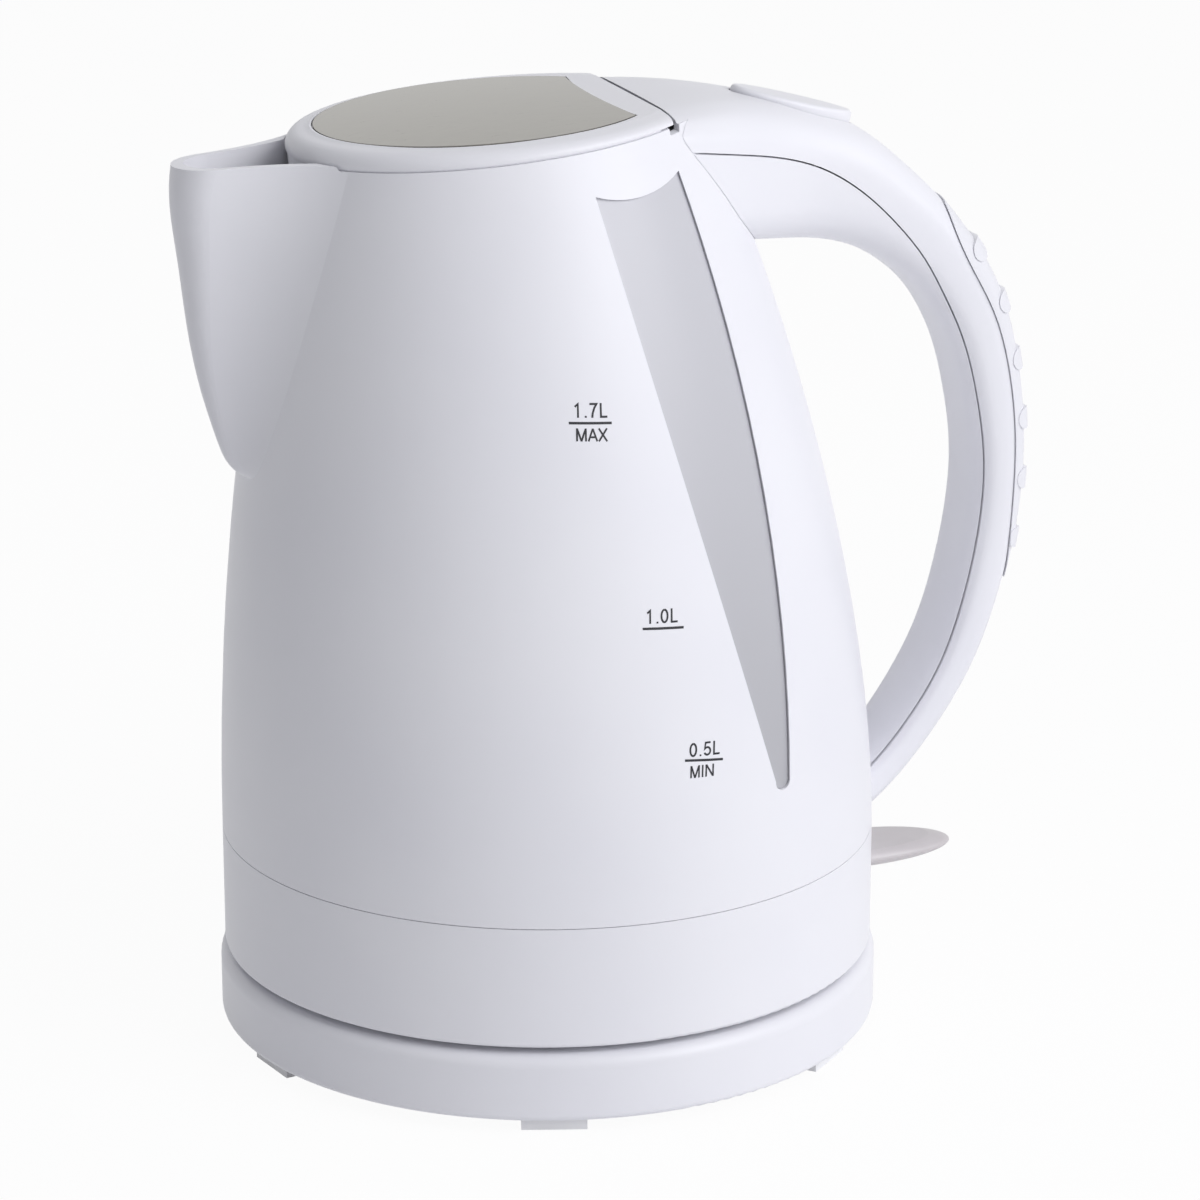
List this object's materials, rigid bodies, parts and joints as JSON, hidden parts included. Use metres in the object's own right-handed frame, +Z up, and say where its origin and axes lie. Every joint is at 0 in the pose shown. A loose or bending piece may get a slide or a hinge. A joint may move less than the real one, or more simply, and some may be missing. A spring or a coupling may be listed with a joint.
{
  "type": "electric kettle",
  "caption": "Cordless jug kettle with a beak spout, hinged steel-topped lid, ribbed C handle, level window and rocker switch, standing on a round power base.",
  "frame": {"origin": "centre of the round power base on the plane it stands on", "axes": "+Z up, spout towards -X, handle towards +X"},
  "size_m": [0.2079, 0.1574, 0.2226],
  "materials": {
    "white_plastic": "glossy moulded polypropylene",
    "window_plastic": "frosted translucent polypropylene",
    "brushed_steel": "straight brushed",
    "stainless_sheet": "bright rolled",
    "plated_steel": "zinc plated",
    "cast_aluminium": "as cast",
    "brass": "bare",
    "black_plastic": "moulded",
    "grey_plastic": "satin silver-grey",
    "grip_rubber": "soft white overmould",
    "soft_feet": "moulded pads",
    "silicone": "translucent silicone",
    "filter_cloth": "fine nylon mesh"
  },
  "bodies": {
    "power_base": {"base_top_cover": "white_plastic", "base_bottom_plate": "white_plastic", "base_screws": "plated_steel", "base_feet": "soft_feet", "cord_gland": "soft_feet", "base_connector": "black_plastic", "base_contacts": "brass"},
    "kettle_connector": {"kettle_connector": "black_plastic", "kettle_contacts": "brass"},
    "kettle": {"jug_body": "white_plastic", "window_near": "window_plastic", "window_far": "window_plastic", "bottom_housing": "white_plastic", "housing_screws": "plated_steel", "plate_seal": "silicone", "heating_plate": "stainless_sheet", "heat_spreader": "cast_aluminium", "heating_element": "cast_aluminium", "control_housing": "black_plastic", "control_nuts": "plated_steel", "overheat_discs": "plated_steel", "steam_disc": "plated_steel", "steam_tube": "white_plastic", "switch_pin": "plated_steel", "hinge_bracket": "white_plastic", "hinge_pin": "plated_steel", "lid_springs": "plated_steel", "handle_outer": "white_plastic", "handle_inner": "white_plastic", "handle_grip": "grip_rubber", "button_spring": "plated_steel"},
    "lid": {"lid_shell": "white_plastic", "lid_plate": "brushed_steel", "lid_inner": "white_plastic", "lid_seal": "silicone"},
    "lid_button": {"lid_button": "white_plastic"},
    "latch": {"latch_slider": "black_plastic"},
    "switch": {"switch_lever": "grey_plastic"},
    "spout_filter": {"filter_frame": "white_plastic", "filter_mesh": "filter_cloth"}
  },
  "joints": [
    {"name": "lift_off", "type": "slide", "parent": "power_base", "child": "kettle_connector", "axis": [0, 0, 1], "range_m": [0, 0.12]},
    {"name": "swivel", "type": "hinge", "parent": "kettle_connector", "child": "kettle", "pos_m": [0, 0, 0.03], "axis": [0, 0, 1], "continuous": true},
    {"name": "lid_hinge", "type": "hinge", "parent": "kettle", "child": "lid", "pos_m": [0.01893, 0, 0.22008], "axis": [0, 1, 0], "range_deg": [0, 70]},
    {"name": "button_press", "type": "slide", "parent": "kettle", "child": "lid_button", "axis": [-0.2538, 0, -0.9673], "range_m": [0, 0.003], "stiffness_N_per_m": 400, "deforming": ["button_spring"]},
    {"name": "latch_slide", "type": "slide", "parent": "kettle", "child": "latch", "axis": [1, 0, 0], "range_m": [0, 0.003]},
    {"name": "switch_rock", "type": "hinge", "parent": "kettle", "child": "switch", "pos_m": [0.064, 0, 0.0308], "axis": [0, 1, 0], "range_deg": [0, 12]},
    {"name": "filter_slide", "type": "slide", "parent": "kettle", "child": "spout_filter", "axis": [1, 0, 0], "range_m": [0, 0.025]}
  ],
  "couplings": [
    {"joint": "latch_slide", "follows": "button_press", "ratio": 1}
  ]
}
